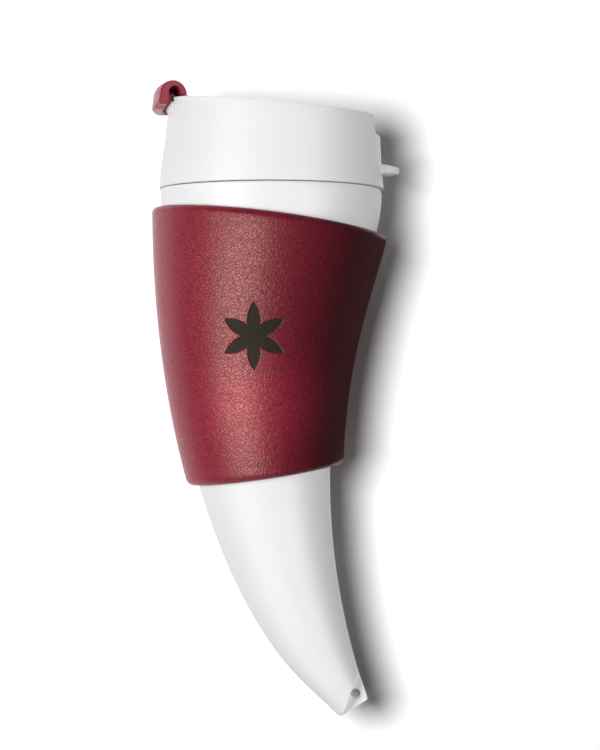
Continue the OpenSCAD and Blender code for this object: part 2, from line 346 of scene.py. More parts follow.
def new_finish(name):
    """An empty finish, its main shader and its Object coordinates"""
    finish = bpy.data.materials.new(name)
    finish.use_nodes = True
    shader = finish.node_tree.nodes["Principled BSDF"]
    print("finish:", name)
    return finish, shader, add(finish, "TexCoord", {}).outputs["Object"]


def noise(owner, where, millimetres, detail=2):
    """Noise with a grain of this size"""
    return add(owner, "TexNoise", {"Vector": where, "Scale": grain(millimetres), "Detail": detail})


def toned(owner, share, low, high):
    """Colour between two cards"""
    return add(owner, "Mix", {"Factor": share, 6: card(low), 7: card(high)}, data_type="RGBA").outputs[2]


def ranged(owner, value, low, high, first=0, last=1):
    """Values between first and last, mapped to the range from low to high"""
    return add(owner, "MapRange", {"Value": value, "From Min": first, "From Max": last,
                                   "To Min": low, "To Max": high})


def bumped(owner, height, strength, millimetres):
    """Normals of a relief that is this deep"""
    return add(owner, "Bump", {"Height": height, "Strength": strength, "Distance": millimetres * MM})


# %% [markdown]
# The horn and the lid are polypropylene, moulded in a spark-eroded tool. That leaves an even, very
# fine matt texture: soft broad highlights and no mirror image. The grain is about 0.2 mm on the real
# one and is drawn at 0.5 mm, because a finer one would not show. Handling polishes it in faint patches.

# %% White moulded polypropylene
white, shader, where = new_finish("white_polypropylene_spark_textured")
handled = noise(white, where, 35, 3)
join(white, shader, {
    "Base Color": toned(white, handled, "#EDEDED", "#F3F3F3"),
    "Roughness": ranged(white, handled, 0.5, 0.4),
    "Normal": bumped(white, noise(white, where, 0.5), 0.35, 0.05),
    "IOR": 1.49})

# %% [markdown]
# The lever is the same plastic, coloured through in crimson and moulded in a smoother tool, so it has
# a satin gloss and picks up a pale sheen at grazing angles. Slow flow of the melt leaves faint
# streaks in the colour, a few millimetres apart along the lever.

# %% Crimson moulded polypropylene
crimson, shader, where = new_finish("crimson_polypropylene_satin_moulded")
along = add(crimson, "Mapping", {"Vector": where, "Scale": (0.25, 1, 1)})
flow = noise(crimson, along, 3, 4)
join(crimson, shader, {
    "Base Color": toned(crimson, flow, "#901F35", "#A0293E"),
    "Roughness": ranged(crimson, flow, 0.36, 0.28),
    "Normal": bumped(crimson, noise(crimson, where, 0.4), 0.3, 0.04),
    "IOR": 1.49, "Specular IOR Level": 0.22})

# %% [markdown]
# The sleeve is coated leather, pressed with a fine grain of long wrinkles, about 0.7 mm across and
# 2.4 mm long, that run askew. Light catches their tops, so a highlight breaks up into small glints,
# and the creases stay dull. The colour is darker in the creases and lighter on the tops: partly dye
# that pools in the creases, partly painted shade and light of the grain. A crease is where two cells of
# a Voronoi pattern meet, and a little noise bends them so that they don't look like tiles. The stamped
# mark is read from the mesh's own attribute, so its stain ends where its hollow ends.

# %% Crimson grained leather
GRAIN_TURN, GRAIN_LONG, GRAIN_ACROSS, GRAIN_SWAY = radians(42), 3.6, 0.66, 0.25
leather, shader, where = new_finish("crimson_coated_leather_pressed_grain")
askew = add(leather, "Mapping", {"Vector": where, "Rotation": (0, GRAIN_TURN, 0),
                                 "Scale": (1, 1, GRAIN_LONG)}, vector_type="TEXTURE")
sway = noise(leather, askew, 2.2)
bent = add(leather, "MixRGB", {"Fac": GRAIN_SWAY * MM, "Color1": askew, "Color2": sway.outputs["Color"]},
           blend_type="ADD")
cells = add(leather, "TexVoronoi", {"Vector": bent, "Scale": grain(GRAIN_ACROSS)},
            feature="DISTANCE_TO_EDGE")
pebble = add(leather, "MapRange", {"Value": cells, "From Max": 0.22}, interpolation_type="SMOOTHSTEP")
relief = add(leather, "Math", {0: pebble, 1: noise(leather, askew, 0.6)}, operation="ADD")
dyed = toned(leather, noise(leather, where, 30, 3), "#871B31", "#97253B")
# darker in the creases, lighter on the tops: dye pooled in the creases, and painted shade and light of the
# grain
crease_dye_and_grain_shade = ranged(leather, relief, 0.62, 1.24, 0.5, 1.6)
shaded = add(leather, "Mix", {"Factor": 1, 6: dyed, 7: crease_dye_and_grain_shade}, data_type="RGBA", blend_type="MULTIPLY")
stamped = add(leather, "Attribute", {}, attribute_name="stamp").outputs["Fac"]
stained = add(leather, "Mix", {"Factor": stamped, 6: shaded.outputs[2], 7: card("#36322A")},
              data_type="RGBA")
gloss = ranged(leather, relief, 0.44, 0.29, 0, 2)
join(leather, shader, {
    "Base Color": stained.outputs[2], "Roughness": ranged(leather, stamped, gloss, 0.7),
    "Normal": bumped(leather, relief, 1, 0.05), "IOR": 1.45,
    "Specular IOR Level": ranged(leather, stamped, 0.35, 0.1)})

# %% [markdown]
# The lining is a needled felt, which keeps a hot cup from the hand. Felt has no gloss; short fibres
# give it a mottled tone and a soft glow at its edges, which sheen stands for.

# %% Brown felt lining
felt, shader, where = new_finish("brown_needled_felt")
fibres = add(felt, "TexNoise", {"Vector": where, "Scale": grain(0.7), "Detail": 5, "Distortion": 1.5})
join(felt, shader, {
    "Base Color": toned(felt, fibres, "#33231D", "#6A4C3D"), "Roughness": 0.95,
    "Normal": bumped(felt, fibres, 0.8, 0.2), "Sheen Weight": 0.4, "Sheen Roughness": 0.5})

# %% [markdown]
# The seal and the two plugs are cast silicone rubber: grey, slightly clear and a little tacky, so fine
# dust dulls it in specks. The hinge pin is drawn stainless steel, with hair lines along its length.

# %% Grey silicone and drawn steel
silicone, shader, where = new_finish("grey_silicone_cast")
dust = noise(silicone, where, 1.2, 4)
join(silicone, shader, {
    "Base Color": toned(silicone, dust, "#6E6F70", "#848586"), "Roughness": ranged(silicone, dust, 0.4, 0.6),
    "IOR": 1.41, "Subsurface Weight": 0.1, "Subsurface Scale": MM})
steel, shader, where = new_finish("stainless_steel_drawn")
drawn = add(steel, "Mapping", {"Vector": where, "Scale": (1, 0.02, 1)})
hair = noise(steel, drawn, 0.15)
join(steel, shader, {
    "Base Color": toned(steel, hair, "#B9B9B6", "#D2D2D0"), "Roughness": ranged(steel, hair, 0.2, 0.38),
    "Metallic": 1})

# %% [markdown]
# ## The horn
# The real horn is blown or moulded as one hollow shell with a neck for the lid. It could be built from
# loose rings, but a shell that is turned on the lathe first, outside and inside in one profile, is
# closed from the start. Bending it along the centre line then gives the horn. Shearing the last rings
# makes the flat end of the tip, and one side is drawn in before the tip and out again at its end,
# where the real one runs straight.

# %% Turn the shell
MOUTH_R, WALL = 43, 2.4
NECK_R, NECK_IN, NECK_H = 38.8, 36.4, 16.8
SHOULDER_ROUND, NECK_FILLET, LIP_ROUND = 1.2, 0.5, 0.7
END_PAST, END_TURN, END_ROUND, END_IN = 1.25, radians(8), 0.7, 0.25
end, end_r = END_PAST / cos(END_TURN), GIRTH[4] - END_IN
profile = [(r, further(1, end)) for r in (0, 2, 4)]
profile += [(r, further(1, z)) for r, z in rounded(end_r, end, END_ROUND, 90, 0, 5)]
skin = spaced(1, 0.9, 0.7) + spaced(0.9, further(0, 2.4), 1.6)[1:]
profile += [(guided(GIRTH, t), t) for t in skin]
neck = rounded(MOUTH_R, 0, SHOULDER_ROUND, 0, 90, 6) + rounded(NECK_R, 0, NECK_FILLET, 270, 180, 3)
neck += rounded(NECK_R, NECK_H, LIP_ROUND, 0, 90, 5) + rounded(NECK_IN, NECK_H, LIP_ROUND, 90, 180, 5)
neck += [(NECK_IN, 4), (NECK_IN, -2), (NECK_IN + 0.7, -3.4)]
profile += [(r, further(0, -z)) for r, z in neck]
hollow = [(t, 0) for t in spaced(further(0, 7), 0.86, 4)] + [(0.88, 0.8), (0.893, 3), (0.9, 6)]
profile += [(guided(GIRTH, t) - WALL - inset, t) for t, inset in hollow] + [(0, 0.901)]
horn = lathe([(r, t * LATHE) for r, t in profile], 176)

# %% Bend it along the centre line
TIP_HOLLOW, HOLLOW_FROM, HOLLOW_FULL = 0.32, 27, 15  # depth, and distances from the tip
TIP_FLARE, FLARE_FROM = 1.7, 13


def on_skin(t, angle, radius):
    """Place on the horn, with the last rings sheared towards the flat end"""
    centre, way, side = station(t)
    across = radius * cos(angle)
    sheared = across * tan(END_TURN) * smooth_step(0.95, 1, t)
    if across < 0:
        to_end = max(1 - t, 0) * stride(1).length
        inwards = TIP_HOLLOW * smooth_step(HOLLOW_FROM, HOLLOW_FULL, to_end)
        inwards -= TIP_FLARE * max(1 - to_end / FLARE_FROM, 0) ** 2
        across += inwards * (across / guided(GIRTH, min(t, 1))) ** 2
    return centre + side * across + Vector((0, radius * sin(angle), 0)) + way * sheared


onto_horn(horn, on_skin)
print("horn shell:", len(horn.faces), "faces")

# %% [markdown]
# The tip is flattened into a small lug with a hole for a cord. On the real horn the tool cuts straight
# in from the side and leaves a rounded step. A block with that rounding along its inner edge is cut
# away on the front and on the back, and a spool that flares at both ends bores the hole, so its rim is
# rounded.

# %% Cut the lug and its hole
EYELET_R, EYELET_ROUND, LUG_T, STEP_FILLET = 1.9, 0.35, 4.4, 1.5
STEP_TURN, STEP_CLEAR, BLOCK_LONG, BLOCK_DEEP = radians(-32), 0.4, 30, 14
step_angle = atan2(-tip_way.z, tip_way.x) + STEP_TURN
step_way = Vector((cos(step_angle), 0, -sin(step_angle)))
step_line = BLOCK_LONG * Vector((sin(step_angle), 0, cos(step_angle)))
step_at = EYELET - step_way * (EYELET_R + STEP_CLEAR) - step_line
step = [(0, BLOCK_DEEP)] + rounded(0, LUG_T / 2, STEP_FILLET, 180, 270, 8)
step += [(BLOCK_LONG, LUG_T / 2), (BLOCK_LONG, BLOCK_DEEP)]
for side in (-1, 1):
    outline = [step_at + step_way * d + Vector((0, side * y, 0)) for d, y in step]
    horn = carve(horn, slab(outline, 2 * step_line), "DIFFERENCE")
bore = flared_cutter(EYELET_R, -LUG_T / 2, LUG_T / 2, EYELET_ROUND, 64, 5)
horn = carve(horn, put(bore, EYELET, QUARTER), "DIFFERENCE")
keep(horn, "horn_shell", "cup", white, "white_plastic", "horn_cup", weighted=True)

# %% [markdown]
# ## The sleeve
# The real sleeve is a strip of leather, closed to a ring, with both rims turned in over a lining. It
# fits the horn like a bandage fits a finger, so it is turned as a ring with that section and bent along
# the same centre line. Both rims bow at front and back, as a ring cut from a taper does, the upper one
# more.

# %% Sleeve coordinates and section
SLEEVE_FROM, SLEEVE_TO = at_drop(12.4), at_drop(111)
ROOM_TOP, ROOM_LOW, SLEEVE_SHIFT = 0.9, 1.6, 0.5
TOP_BOW, LOW_BOW = 1.2, 0.6
LINER_T, SLEEVE_WALL, RIM_H, RIM_ROUND = 1.6, 3.2, 3.5, 2.6
CORE = 100  # radius on the lathe that stands for the sleeve's inner face


def on_sleeve(t, angle, radius):
    """Place on the sleeve; a radius of CORE on the lathe is its inner face"""
    share = (t - SLEEVE_FROM) / (SLEEVE_TO - SLEEVE_FROM)
    centre, way, side = station(t)
    out = guided(GIRTH, t) + ROOM_TOP + (ROOM_LOW - ROOM_TOP) * share + radius - CORE
    bow = (LOW_BOW * share - TOP_BOW * (1 - share)) * sin(angle) ** 2
    return centre + side * (SLEEVE_SHIFT + out * cos(angle)) + Vector((0, out * sin(angle), 0)) + way * bow


lip = SLEEVE_WALL - RIM_ROUND
rim = [(lip - y, lip - x) for x, y in arc((0, 0), lip, 0, 90, 3)][:-1]
rim += [(RIM_ROUND - x, lip + y) for x, y in arc((0, 0), RIM_ROUND, 0, 90, 8)]
top, low = further(SLEEVE_FROM, RIM_H), further(SLEEVE_TO, -RIM_H)
section = [(0, low)] + [(LINER_T, t) for t in spaced(low, top, 4)] + [(0, top)]
section += [(out, further(SLEEVE_FROM, back)) for back, out in rim]
section += [(SLEEVE_WALL, t) for t in spaced(top, low, 1.1)]
section += [(out, further(SLEEVE_TO, -back)) for back, out in reversed(rim)]
sleeve = lathe([(CORE + out, t * LATHE) for out, t in section], 240, closed=True)
print("sleeve ring:", len(sleeve.faces), "faces")

# %% [markdown]
# A rosette of six petals is pressed into the front and stained dark. Drawn only as a colour it would
# look printed on, so the mesh is made finer there and its points are pushed in. A petal is where two
# circles cross. At the back the two ends of the strip meet in a seam, a fine groove between two raised
# edges.

# %% Finer mesh for the rosette and the seam
ROSETTE_X, ROSETTE_Z, ROSETTE_R, PETAL_MORE, ROSETTE_DEPTH = -5.9, -57.6, 11, 1, 0.3
SEAM_WIDTH, SEAM_DEPTH, SEAM_RAISE, SEAM_TURN = 0.45, 0.6, 0.12, radians(4)
SKIN = CORE + SLEEVE_WALL - 0.1  # radius on the lathe above which a point lies on the outer skin


def in_rosette(face):
    """True for a face of the outer skin at the rosette's place"""
    t, angle, radius = on_lathe(face.calc_center_median())
    spot = on_sleeve(t, angle, radius)
    near = hypot(spot.x - ROSETTE_X, spot.z - ROSETTE_Z) < ROSETTE_R + PETAL_MORE + 1.5
    return near and spot.y < 0 and radius > SKIN


def over_seam(edge):
    """True for an edge that runs round the sleeve close to the seam"""
    (t, angle, radius), (other_t, other_angle, _) = (on_lathe(v.co) for v in edge.verts)
    near = abs((angle + other_angle) / 2 - pi / 2) < SEAM_TURN
    return near and abs(t - other_t) < 1e-6 and radius > CORE + 0.5


finer = {e for f in sleeve.faces if in_rosette(f) for e in f.edges}
bmesh.ops.subdivide_edges(sleeve, edges=list(finer), cuts=5, use_grid_fill=True)
bmesh.ops.subdivide_edges(sleeve, edges=[e for e in sleeve.edges if over_seam(e)], cuts=4)
print("sleeve with finer places:", len(sleeve.faces), "faces")

# %% Press the rosette and the seam


def outside_petal(x, z):
    """Distance from the nearest petal's edge, below zero inside it"""
    best = 1e9
    for k in range(6):
        to = [radians(60 * k + turn) for turn in (30, 150)]
        best = min(best, max(hypot(x - ROSETTE_R * cos(a), z - ROSETTE_R * sin(a)) for a in to) - ROSETTE_R)
    return best - PETAL_MORE


stamp = sleeve.verts.layers.float.new("stamp")
turned = {v: on_lathe(v.co) for v in sleeve.verts}
onto_horn(sleeve, on_sleeve)
sleeve.normal_update()
for v, (_, angle, radius) in turned.items():
    push = 0
    if v.co.y < 0 and radius > SKIN:
        edge = outside_petal(v.co.x - ROSETTE_X, v.co.z - ROSETTE_Z)
        v[stamp] = smooth_step(0.2, -0.2, edge)
        push = -ROSETTE_DEPTH * smooth_step(0.25, -0.35, edge)
    beside = abs(angle - pi / 2) * hypot(v.co.y, 1)
    if v.co.y > 0 and beside < 4 and radius > CORE + 2:
        push = SEAM_RAISE * smooth_step(3, 1, beside) - SEAM_DEPTH * smooth_step(SEAM_WIDTH, 0, beside)
    v.co += v.normal * push
keep(sleeve, "sleeve_leather_skin", "sleeve", leather, "crimson_leather", "sleeve_leather", crease=50)

# %% [markdown]
# A sewn row runs along each side of the seam. A stitch is a short, rounded length of thread that dips
# into the leather at both ends, so each one starts as a small sphere that is stretched along the horn
# and bent down at its ends. Waxed thread is a shade darker than the leather and twisted.

# %% Sew the seam
STITCH_PITCH, STITCH_LENGTH, STITCH_ASIDE, STITCH_FROM_RIM = 4, 3.1, 2.3, 5
THREAD_R, THREAD_UP, THREAD_DIP = 0.36, 0.22, 0.5
thread, shader, where = new_finish("dark_crimson_waxed_thread")
twist = add(thread, "TexWave", {"Vector": where, "Scale": grain(3), "Distortion": 0.4},
            bands_direction="DIAGONAL").outputs["Fac"]
join(thread, shader, {
    "Base Color": toned(thread, twist, "#4A1420", "#6E2233"), "Roughness": 0.6,
    "Normal": bumped(thread, twist, 0.5, 0.1), "Sheen Weight": 0.2})
sewing = bmesh.new()
for t in spaced(further(SLEEVE_FROM, STITCH_FROM_RIM), further(SLEEVE_TO, -STITCH_FROM_RIM), STITCH_PITCH):
    for row in (-1, 1):
        ball = bmesh.ops.create_uvsphere(sewing, u_segments=8, v_segments=8, radius=1)
        for v in ball["verts"]:
            x, y, z = v.co
            angle = pi / 2 + (row * STITCH_ASIDE + THREAD_R * y) / guided(GIRTH, t)
            radius = CORE + SLEEVE_WALL + THREAD_UP + THREAD_R * x - THREAD_DIP * z * z
            v.co = on_sleeve(further(t, STITCH_LENGTH / 2 * z), angle, radius)
keep(clean(sewing), "seam_stitches", "sleeve", thread, "crimson_leather")

# %% [markdown]
# The lining lies between the rims, inside the leather. It is turned and bent in the same way, a hair
# thinner than its place so that the two skins never share a face.

# %% Lining
band = [(0.15, further(low, -0.2))] + [(0, t) for t in spaced(further(low, -0.6), further(top, 0.6), 3)]
band += [(0.15, further(top, 0.2))]
band += [(LINER_T - 0.05, t) for t in spaced(further(top, 0.1), further(low, -0.1), 3)]
lining = lathe([(CORE + out, t * LATHE) for out, t in band], 144, closed=True)
onto_horn(lining, on_sleeve)
keep(lining, "sleeve_felt_lining", "sleeve", felt, "lining", "sleeve_liner")

# %% [markdown]
# ## The lid
# The lid is a turned cap whose top slants down towards the hinge, with a channel across it for the
# lever. Cutting the channel out of a domed cap would leave ragged edges that can't be rounded. So the
# wall is raised ring by ring: first all round to the level of the channel's floor, then only the two
# cheeks on to the top. The top is flat until its edges are rounded, and gets its slight crown last.

# %% Levels of the lid
LID_GAP, FOOT_ROUND, LID_H, LID_R, LID_TOP_R, LID_PLATE = 0.25, 0.35, 31.5, 43.7, 40.7, 2.2
SKIRT_IN, SKIRT_ROUND, SEAL_Z, CHAMBER_R = 40.2, 0.5, 18.4, 37
LID_SLOPE, CROWN_R, CHANNEL = radians(4.9), 530, 13.3
HOOK_DEEP, HINGE_DEEP = 2.6, 6.5  # the channel's depth at its two ends
TAPER_FROM, RIM_TAPER = 1.1, 1 / 30


def top_level(x):
    """Height of the lid's top before it is crowned"""
    return LID_H - tan(LID_SLOPE) * x


hook_floor = top_level(-LID_TOP_R) - HOOK_DEEP
hinge_floor = top_level(LID_TOP_R) - HINGE_DEEP
FLOOR_FALL = (hook_floor - hinge_floor) / (2 * LID_TOP_R)


def floor_level(x):
    """Height of the channel's floor"""
    return (hook_floor + hinge_floor) / 2 - FLOOR_FALL * x


def lid_wall(z):
    """Outer radius of the lid at a height"""
    if z > LID_H:
        return LID_TOP_R - (z - LID_H) * RIM_TAPER
    return LID_R - (LID_R - LID_TOP_R) * (z - TAPER_FROM) / (LID_H - TAPER_FROM)


print("channel floor from", round(hook_floor, 2), "to", round(hinge_floor, 2))

# %% Rings of the lid
COLUMNS, HALF_COLUMN = 288, 0.42  # columns round the wall, and not quite half the gap between two


def next_ring(bm, edges, place):
    """Extrudes a row of edges and puts each new point where place says for its angle"""
    made = bmesh.ops.extrude_edge_only(bm, edges=edges)["geom"]
    fresh = {v for v in made if isinstance(v, bmesh.types.BMVert)}
    for v in fresh:
        v.co = place(atan2(v.co.y, v.co.x))
    return [e for e in made if isinstance(e, bmesh.types.BMEdge) and set(e.verts) <= fresh]


def level_rings(bm, edges, rings):
    """Goes on from a row of edges with level rings, given as (radius, height)"""
    for r, z in rings:
        edges = next_ring(bm, edges, lambda a: Vector((r * cos(a), r * sin(a), z)))
    return edges


def slanted_ring(radius_at, level, half):
    """Places where the wall meets a slanted plane, with the columns at the channel's corners set exactly"""
    def place(a):
        z = level(0)
        for _ in range(12):
            z = level(radius_at(z) * cos(a))
        r = radius_at(z)
        x, y = r * cos(a), r * sin(a)
        if abs(abs(y) - half) < HALF_COLUMN:
            y = half if y > 0 else -half
            x = sqrt(r * r - y * y) * (1 if x > 0 else -1)
        return Vector((x, y, level(x)))
    return place


def stepped_top(bm, edges, radius_at, floor, top, half):
    """Closes a wall with a channel's floor and two higher cheeks; gives the edges to be rounded"""
    def corner(row, x, y):
        found = [v for e in row for v in e.verts if abs(abs(v.co.y) - half) < 1e-3]
        return next(v for v in found if v.co.x * x > 0 and v.co.y * y > 0)

    ring = next_ring(bm, edges, slanted_ring(radius_at, floor, half))
    cheeks = [e for e in ring if min(abs(v.co.y) for v in e.verts) > half - 1e-3]
    mouths = [e for e in ring if e not in cheeks]
    rims = next_ring(bm, cheeks, slanted_ring(radius_at, top, half))
    sharp, floor_lines = list(rims) + mouths, []
    for y in (-1, 1):
        low = [corner(ring, x, y) for x in (-1, 1)]
        high = [corner(rims, x, y) for x in (-1, 1)]
        floor_lines += bmesh.ops.contextual_create(bm, geom=low)["edges"]
        line = bmesh.ops.contextual_create(bm, geom=high)["edges"]
        bmesh.ops.contextual_create(bm, geom=low + high)
        bmesh.ops.contextual_create(bm, geom=[e for e in rims if e.verts[0].co.y * y > 0] + line)
        uprights = [e for v in low for e in v.link_edges if e.other_vert(v) in high]
        sharp += line + uprights
    bmesh.ops.contextual_create(bm, geom=mouths + floor_lines)
    return sharp


# %% Raise the wall, outside and inside
lid = bmesh.new()
bmesh.ops.create_circle(lid, cap_ends=False, radius=LID_R - FOOT_ROUND, segments=COLUMNS)
put(lid, (0, 0, LID_GAP))
hem = list(lid.edges)
foot = rounded(LID_R, LID_GAP, FOOT_ROUND, -90, 0, 4)[1:]
outer = level_rings(lid, hem, foot + [(lid_wall(z), z) for z in (8, 14, 19)])
sharp = stepped_top(lid, outer, lid_wall, floor_level, top_level, CHANNEL)
skirt = rounded(SKIRT_IN, LID_GAP, SKIRT_ROUND, 270, 180, 4) + [(SKIRT_IN, 9), (SKIRT_IN, SEAL_Z)]
inner = level_rings(lid, hem, skirt + [(CHAMBER_R, SEAL_Z)])
stepped_top(lid, inner, lambda z: CHAMBER_R, lambda x: floor_level(x) - LID_PLATE,
            lambda x: top_level(x) - LID_PLATE, CHANNEL + LID_PLATE)
bmesh.ops.recalc_face_normals(lid, faces=lid.faces)
round_off(lid, sharp, 0.55, 4)
print("lid before its details:", len(lid.faces), "faces")

# %% [markdown]
# The crown comes next. The flat cheeks are cut into narrow strips along the lid, because one large
# face can't bend, and every point of the top then sinks by the height of an arc across the lid. The
# real lid isn't quite true: its upper part leans towards the hinge, the rim on the hook's side stays
# back, and the channel's mouth sinks at the hinge end.

# %% Crown the top and lean the lid
CUT_EVERY, CUTS = 1.2, 22
LEAN, LEAN_FROM, LEAN_SINK = 0.055, 9, 0.1
RIM_BACK, RIM_FROM, RIM_TO, RIM_FULL_X = 0.9, 29.5, 33.5, -30
MOUTH_DROP, MOUTH_FROM, MOUTH_TO = 0.75, 34, 39.5


def cheek_at(face, y):
    """True for a face of the lid's flat cheeks that crosses this y"""
    middle, across = face.calc_center_median(), [v.co.y for v in face.verts]
    flat = face.normal.z > 0.9 and middle.z > 26 and face.calc_area() > 0.3
    return flat and min(across) < y < max(across) and abs(middle.y) > CHANNEL


for y in [side * (CHANNEL + CUT_EVERY * k) for side in (-1, 1) for k in range(1, CUTS + 1)]:
    parts = {x for f in lid.faces if cheek_at(f, y) for x in (f, *f.edges, *f.verts)}
    bmesh.ops.bisect_plane(lid, geom=list(parts), dist=1e-5, plane_co=(0, y, 0), plane_no=(0, 1, 0))
for v in lid.verts:
    under = top_level(v.co.x) - v.co.z
    if under < 1 or (abs(under - LID_PLATE) < 0.05 and hypot(v.co.x, v.co.y) < CHAMBER_R + 0.1):
        v.co.z -= v.co.y ** 2 / (2 * CROWN_R)
for v in lid.verts:
    shift = LEAN * max(v.co.z - LEAN_FROM, 0)
    shift -= RIM_BACK * smooth_step(RIM_FROM, RIM_TO, v.co.z) * smooth_step(0, RIM_FULL_X, v.co.x)
    v.co += Vector((shift, 0, -LEAN_SINK * shift))
    if abs(v.co.y) < CHANNEL + 0.1 and abs(floor_level(v.co.x) - v.co.z) < 1:
        v.co.z -= MOUTH_DROP * smooth_step(MOUTH_FROM, MOUTH_TO, v.co.x)
print("lid with its crown:", len(lid.faces), "faces")

# %% [markdown]
# Then come the details: the catch under the hook, the strap tab, the two saddles for the hinge pin, and
# the drinking, air and strap holes. Each is a small closed shape, rounded first and then joined to the
# lid or cut from it. The strap tab is thicker at its root, and the cutters flare where they leave the
# plastic.

# %% Catch and strap tab
HOOK_HALF, CATCH_R, CATCH_IN = radians(24), 41.3, 38
TAB_R, TAB_T, TAB_ROUND, TAB_AT = 6.5, 2.6, 1, Vector((43.4, 0, 6.5))
TAB_RISE, TAB_FALL, TAB_DEEP, TAB_ROOT, TAB_CUT = 0.45, 0.12, 0.7, 42, 41.5


def swept(profile, half_angle, steps):
    """A closed section in (radius, height), swept round the lid's axis on the hook's side"""
    bm = bmesh.new()
    start = pi - half_angle
    face = flat_shape(bm, [(r * cos(start), r * sin(start), z) for r, z in profile])
    spin(bm, [face, *face.edges, *face.verts], 2 * half_angle, steps)
    return clean(bm)


ledge = [(CATCH_IN, hook_floor - 3.2), (40.3, hook_floor - 3.2), (CATCH_R, hook_floor - 0.9)]
ledge += rounded(CATCH_R, hook_floor - 0.05, 0.3, 0, 90, 3) + [(CATCH_IN, hook_floor - 0.05)]
lid = carve(lid, swept(ledge, HOOK_HALF, 43), "UNION")
tab = put(lathe(round_bar(TAB_R, 0, TAB_T, TAB_ROUND, 5), 72), TAB_AT)
for v in tab.verts:
    upper = v.co.z > TAB_AT.z + TAB_T / 2
    v.co.z += TAB_RISE - TAB_FALL * (v.co.x - TAB_ROOT) if upper else -TAB_DEEP
inside = bmesh.ops.bisect_plane(tab, geom=[*tab.verts, *tab.edges, *tab.faces], dist=1e-5,
                                plane_co=(TAB_CUT, 0, 0), plane_no=(-1, 0, 0), clear_outer=True)
bmesh.ops.holes_fill(tab, edges=[e for e in inside["geom_cut"] if isinstance(e, bmesh.types.BMEdge)])
lid = carve(lid, clean(tab), "UNION")
print("lid with catch and tab:", len(lid.faces), "faces")

# %% Pin saddles
PIN_R, PIN_ROOM, KNUCKLE_R, KNUCKLE_W, KNUCKLE_CLEAR = 1.25, 0.02, 2.6, 13.8, 0.4
SADDLE_R, SADDLE_W, SADDLE_FROM = 2.7, 3, KNUCKLE_W / 2 + 0.4
SADDLE_SUNK, SADDLE_OPEN, SLOT_HALF, HINGE_IN = 1.6, 22, 1, 9.7
HINGE = Vector((LID_TOP_R - HINGE_IN, 0, 0))
HINGE.z = floor_level(HINGE.x) + KNUCKLE_R / cos(atan2(FLOOR_FALL, 1)) + KNUCKLE_CLEAR
foot = HINGE.z - floor_level(HINGE.x) + SADDLE_SUNK
slot_turn = degrees(asin(SLOT_HALF / (PIN_R + PIN_ROOM)))
cradle = [(-SADDLE_R, -foot)] + arc((0, 0), SADDLE_R, 180, 90 + SADDLE_OPEN, 8)
cradle += arc((0, 0), PIN_R + PIN_ROOM, 90 + slot_turn, 450 - slot_turn, 18)
cradle += arc((0, 0), SADDLE_R, 90 - SADDLE_OPEN, 0, 8) + [(SADDLE_R, -foot)]
for side in (-1, 1):
    saddle = slab([(x, -SADDLE_W / 2, z) for x, z in cradle], (0, SADDLE_W, 0))
    put(saddle, HINGE + Vector((0, side * (SADDLE_FROM + SADDLE_W / 2), 0)))
    lid = carve(lid, saddle, "UNION")
print("hinge at", [round(x, 2) for x in HINGE])

# %% Holes in the lid
SIP_X, SIP_R, VENT_X, VENT_R = 14.5 - LID_TOP_R, 5, 6, 1.4
STRAP_X, STRAP_R = 46.7, 1.9
TILT = Matrix.Rotation(atan2(FLOOR_FALL, 1), 3, "Y")
for x, radius in ((SIP_X, SIP_R), (VENT_X, VENT_R)):
    cutter = put(flared_cutter(radius, -LID_PLATE, 0, 0.4), (x, 0, floor_level(x)), TILT)
    lid = carve(lid, cutter, "DIFFERENCE")
strap_hole = flared_cutter(STRAP_R, TAB_AT.z - TAB_DEEP, TAB_AT.z + TAB_T - 0.1, 0.5, 48)
lid = carve(lid, put(strap_hole, (STRAP_X, 0, 0)), "DIFFERENCE")
keep(lid, "lid_shell", "lid", white, "white_plastic", "lid_cap", weighted=True)

# %% [markdown]
# ## The lever
# The lever is one red moulding: a strip that lies in the channel, a knuckle round the hinge pin at one
# end and, at the other, a hook that arches over the lid's rim and ends in a thumb tab. The hook is a
# section swept round the lid, and its tab is drawn down out of the middle of the outer leg. Strip,
# knuckle and hook are rounded as separate shapes and then joined.

# %% Hook and thumb tab
LEG_IN, LEG_OUT, LEG_ROUND = 42, 46.5, 1.2
ARCH_IN, ARCH_ROOT, ARCH_R = 37.7, 35.1, 5.4
ARCH_TOP = top_level(-LID_TOP_R) + 5.7
ARCH_FOOT = ARCH_TOP - ARCH_R
ARCH_WALL, HOLLOW_R = 2.2, 2.3
HOOK_LOW, TAB_DROP = hook_floor - 1, 1.2


def soften(bm, offset, above_angle=50):
    """Rounds every edge that is sharper than this angle, in degrees"""
    edges = [e for e in bm.edges if e.is_manifold and e.calc_face_angle() > radians(above_angle)]
    round_off(bm, edges, offset)


section = arc((ARCH_ROOT + ARCH_R, ARCH_FOOT), ARCH_R, 0, 180, 28) + [(ARCH_IN, ARCH_FOOT)]
section += arc((ARCH_IN + HOLLOW_R, ARCH_TOP - ARCH_WALL - HOLLOW_R), HOLLOW_R, 180, 0, 18)
section += rounded(LEG_IN, HOOK_LOW, LEG_ROUND, 180, 270, 5)
section += rounded(LEG_OUT, HOOK_LOW, LEG_ROUND, 270, 360, 5)
hook = swept(section, HOOK_HALF, 43)
for v in hook.verts:
    if v.co.z < HOOK_LOW + LEG_ROUND + 0.01:
        beside = abs(atan2(v.co.y, -v.co.x)) / HOOK_HALF
        v.co.z -= TAB_DROP * smooth_step(0.97, 0.5, beside)
soften(hook, 0.4)
print("hook:", len(hook.faces), "faces")

